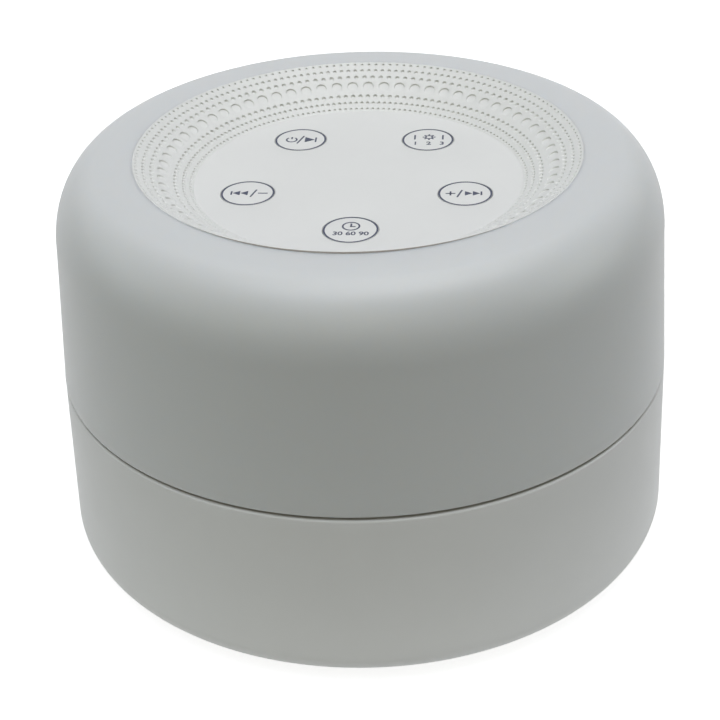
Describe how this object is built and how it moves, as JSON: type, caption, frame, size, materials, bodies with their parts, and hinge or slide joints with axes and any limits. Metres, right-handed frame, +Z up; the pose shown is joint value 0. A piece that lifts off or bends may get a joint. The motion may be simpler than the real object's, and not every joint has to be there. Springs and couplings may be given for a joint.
{
  "type": "white noise sound machine",
  "caption": "Round tabletop sound machine with a milky lamp shade over an opaque base, and flush round keys in a shallow dimpled dish on top.",
  "frame": {"origin": "centre of the footprint, on the surface that the rubber feet stand on", "axes": "+Z up through the control dish, -Y towards the timer key and the user, +Y towards the USB-C socket"},
  "size_m": [0.124, 0.124, 0.0836],
  "materials": {
    "base_plastic": "fine matt warm white",
    "cover_plastic": "matt warm white",
    "shade_plastic": "milky translucent, satin",
    "dish_plastic": "fine matt white",
    "key_plastic": "fine matt white, printed",
    "foot_rubber": "matt",
    "grille_cloth": "woven",
    "screw_steel": "zinc plated",
    "foam": "soft foam",
    "painted_steel": "satin black",
    "plate_steel": "plated",
    "ferrite": "sintered, matt",
    "terminal_board": "phenolic board",
    "cone_paper": "pressed paper",
    "coil_copper": "enamelled wire",
    "surround_rubber": "matt",
    "spider_cloth": "impregnated weave",
    "cell_wrap": "shrink wrap",
    "lead_plastic": "insulation",
    "circuit_board": "solder resist",
    "chip_plastic": "moulded epoxy",
    "capacitor_can": "drawn can",
    "socket_plastic": "nylon",
    "reflector_plastic": "matt white",
    "lamp_board": "white solder resist",
    "led_lens": "phosphor",
    "ribbon_plastic": "film",
    "plunger_plastic": "moulded"
  },
  "bodies": {
    "housing": {"base_housing": "base_plastic", "bottom_cover": "cover_plastic", "grille_cloth": "grille_cloth", "foot_right": "foot_rubber", "foot_back": "foot_rubber", "foot_left": "foot_rubber", "foot_front": "foot_rubber", "cover_screws": "screw_steel", "speaker_gasket": "foam", "speaker_frame": "painted_steel", "speaker_top_plate": "plate_steel", "speaker_magnet": "ferrite", "speaker_yoke": "plate_steel", "speaker_terminals": "terminal_board", "speaker_surround": "surround_rubber", "speaker_spider": "spider_cloth", "speaker_screws": "screw_steel", "battery_cell": "cell_wrap", "battery_pads": "foam", "battery_leads": "lead_plastic", "speaker_leads": "lead_plastic", "main_board": "circuit_board", "main_board_chips": "chip_plastic", "main_board_capacitors": "capacitor_can", "lead_sockets": "socket_plastic", "usb_c_socket": "plate_steel", "board_screws": "screw_steel", "chassis_plate": "reflector_plastic", "chassis_screws": "screw_steel", "light_column": "reflector_plastic", "column_screws": "screw_steel", "led_board": "lamp_board", "leds": "led_lens", "led_board_screws": "screw_steel", "led_leads": "lead_plastic", "key_ribbon": "ribbon_plastic", "shade": "shade_plastic", "control_dish": "dish_plastic", "dish_screws": "screw_steel", "key_board": "circuit_board", "key_board_screws": "screw_steel", "power_switch": "chip_plastic", "lamp_switch": "chip_plastic", "next_switch": "chip_plastic", "timer_switch": "chip_plastic", "previous_switch": "chip_plastic"},
    "cone_assembly": {"speaker_cone": "cone_paper", "dust_cap": "cone_paper", "voice_coil": "coil_copper"},
    "power_button": {"power_key": "key_plastic", "power_plunger": "plunger_plastic"},
    "lamp_button": {"lamp_key": "key_plastic", "lamp_plunger": "plunger_plastic"},
    "next_button": {"next_key": "key_plastic", "next_plunger": "plunger_plastic"},
    "timer_button": {"timer_key": "key_plastic", "timer_plunger": "plunger_plastic"},
    "previous_button": {"previous_key": "key_plastic", "previous_plunger": "plunger_plastic"}
  },
  "joints": [
    {"name": "cone_travel", "type": "slide", "parent": "housing", "child": "cone_assembly", "axis": [0, 0, 1], "range_m": [-0.001, 0.001], "stiffness_N_per_m": 1500, "deforming": ["speaker_surround", "speaker_spider"]},
    {"name": "power_press", "type": "slide", "parent": "housing", "child": "power_button", "axis": [0, 0, -1], "range_m": [0, 0.0004], "stiffness_N_per_m": 1500},
    {"name": "lamp_press", "type": "slide", "parent": "housing", "child": "lamp_button", "axis": [0, 0, -1], "range_m": [0, 0.0004], "stiffness_N_per_m": 1500},
    {"name": "next_press", "type": "slide", "parent": "housing", "child": "next_button", "axis": [0, 0, -1], "range_m": [0, 0.0004], "stiffness_N_per_m": 1500},
    {"name": "timer_press", "type": "slide", "parent": "housing", "child": "timer_button", "axis": [0, 0, -1], "range_m": [0, 0.0004], "stiffness_N_per_m": 1500},
    {"name": "previous_press", "type": "slide", "parent": "housing", "child": "previous_button", "axis": [0, 0, -1], "range_m": [0, 0.0004], "stiffness_N_per_m": 1500}
  ]
}
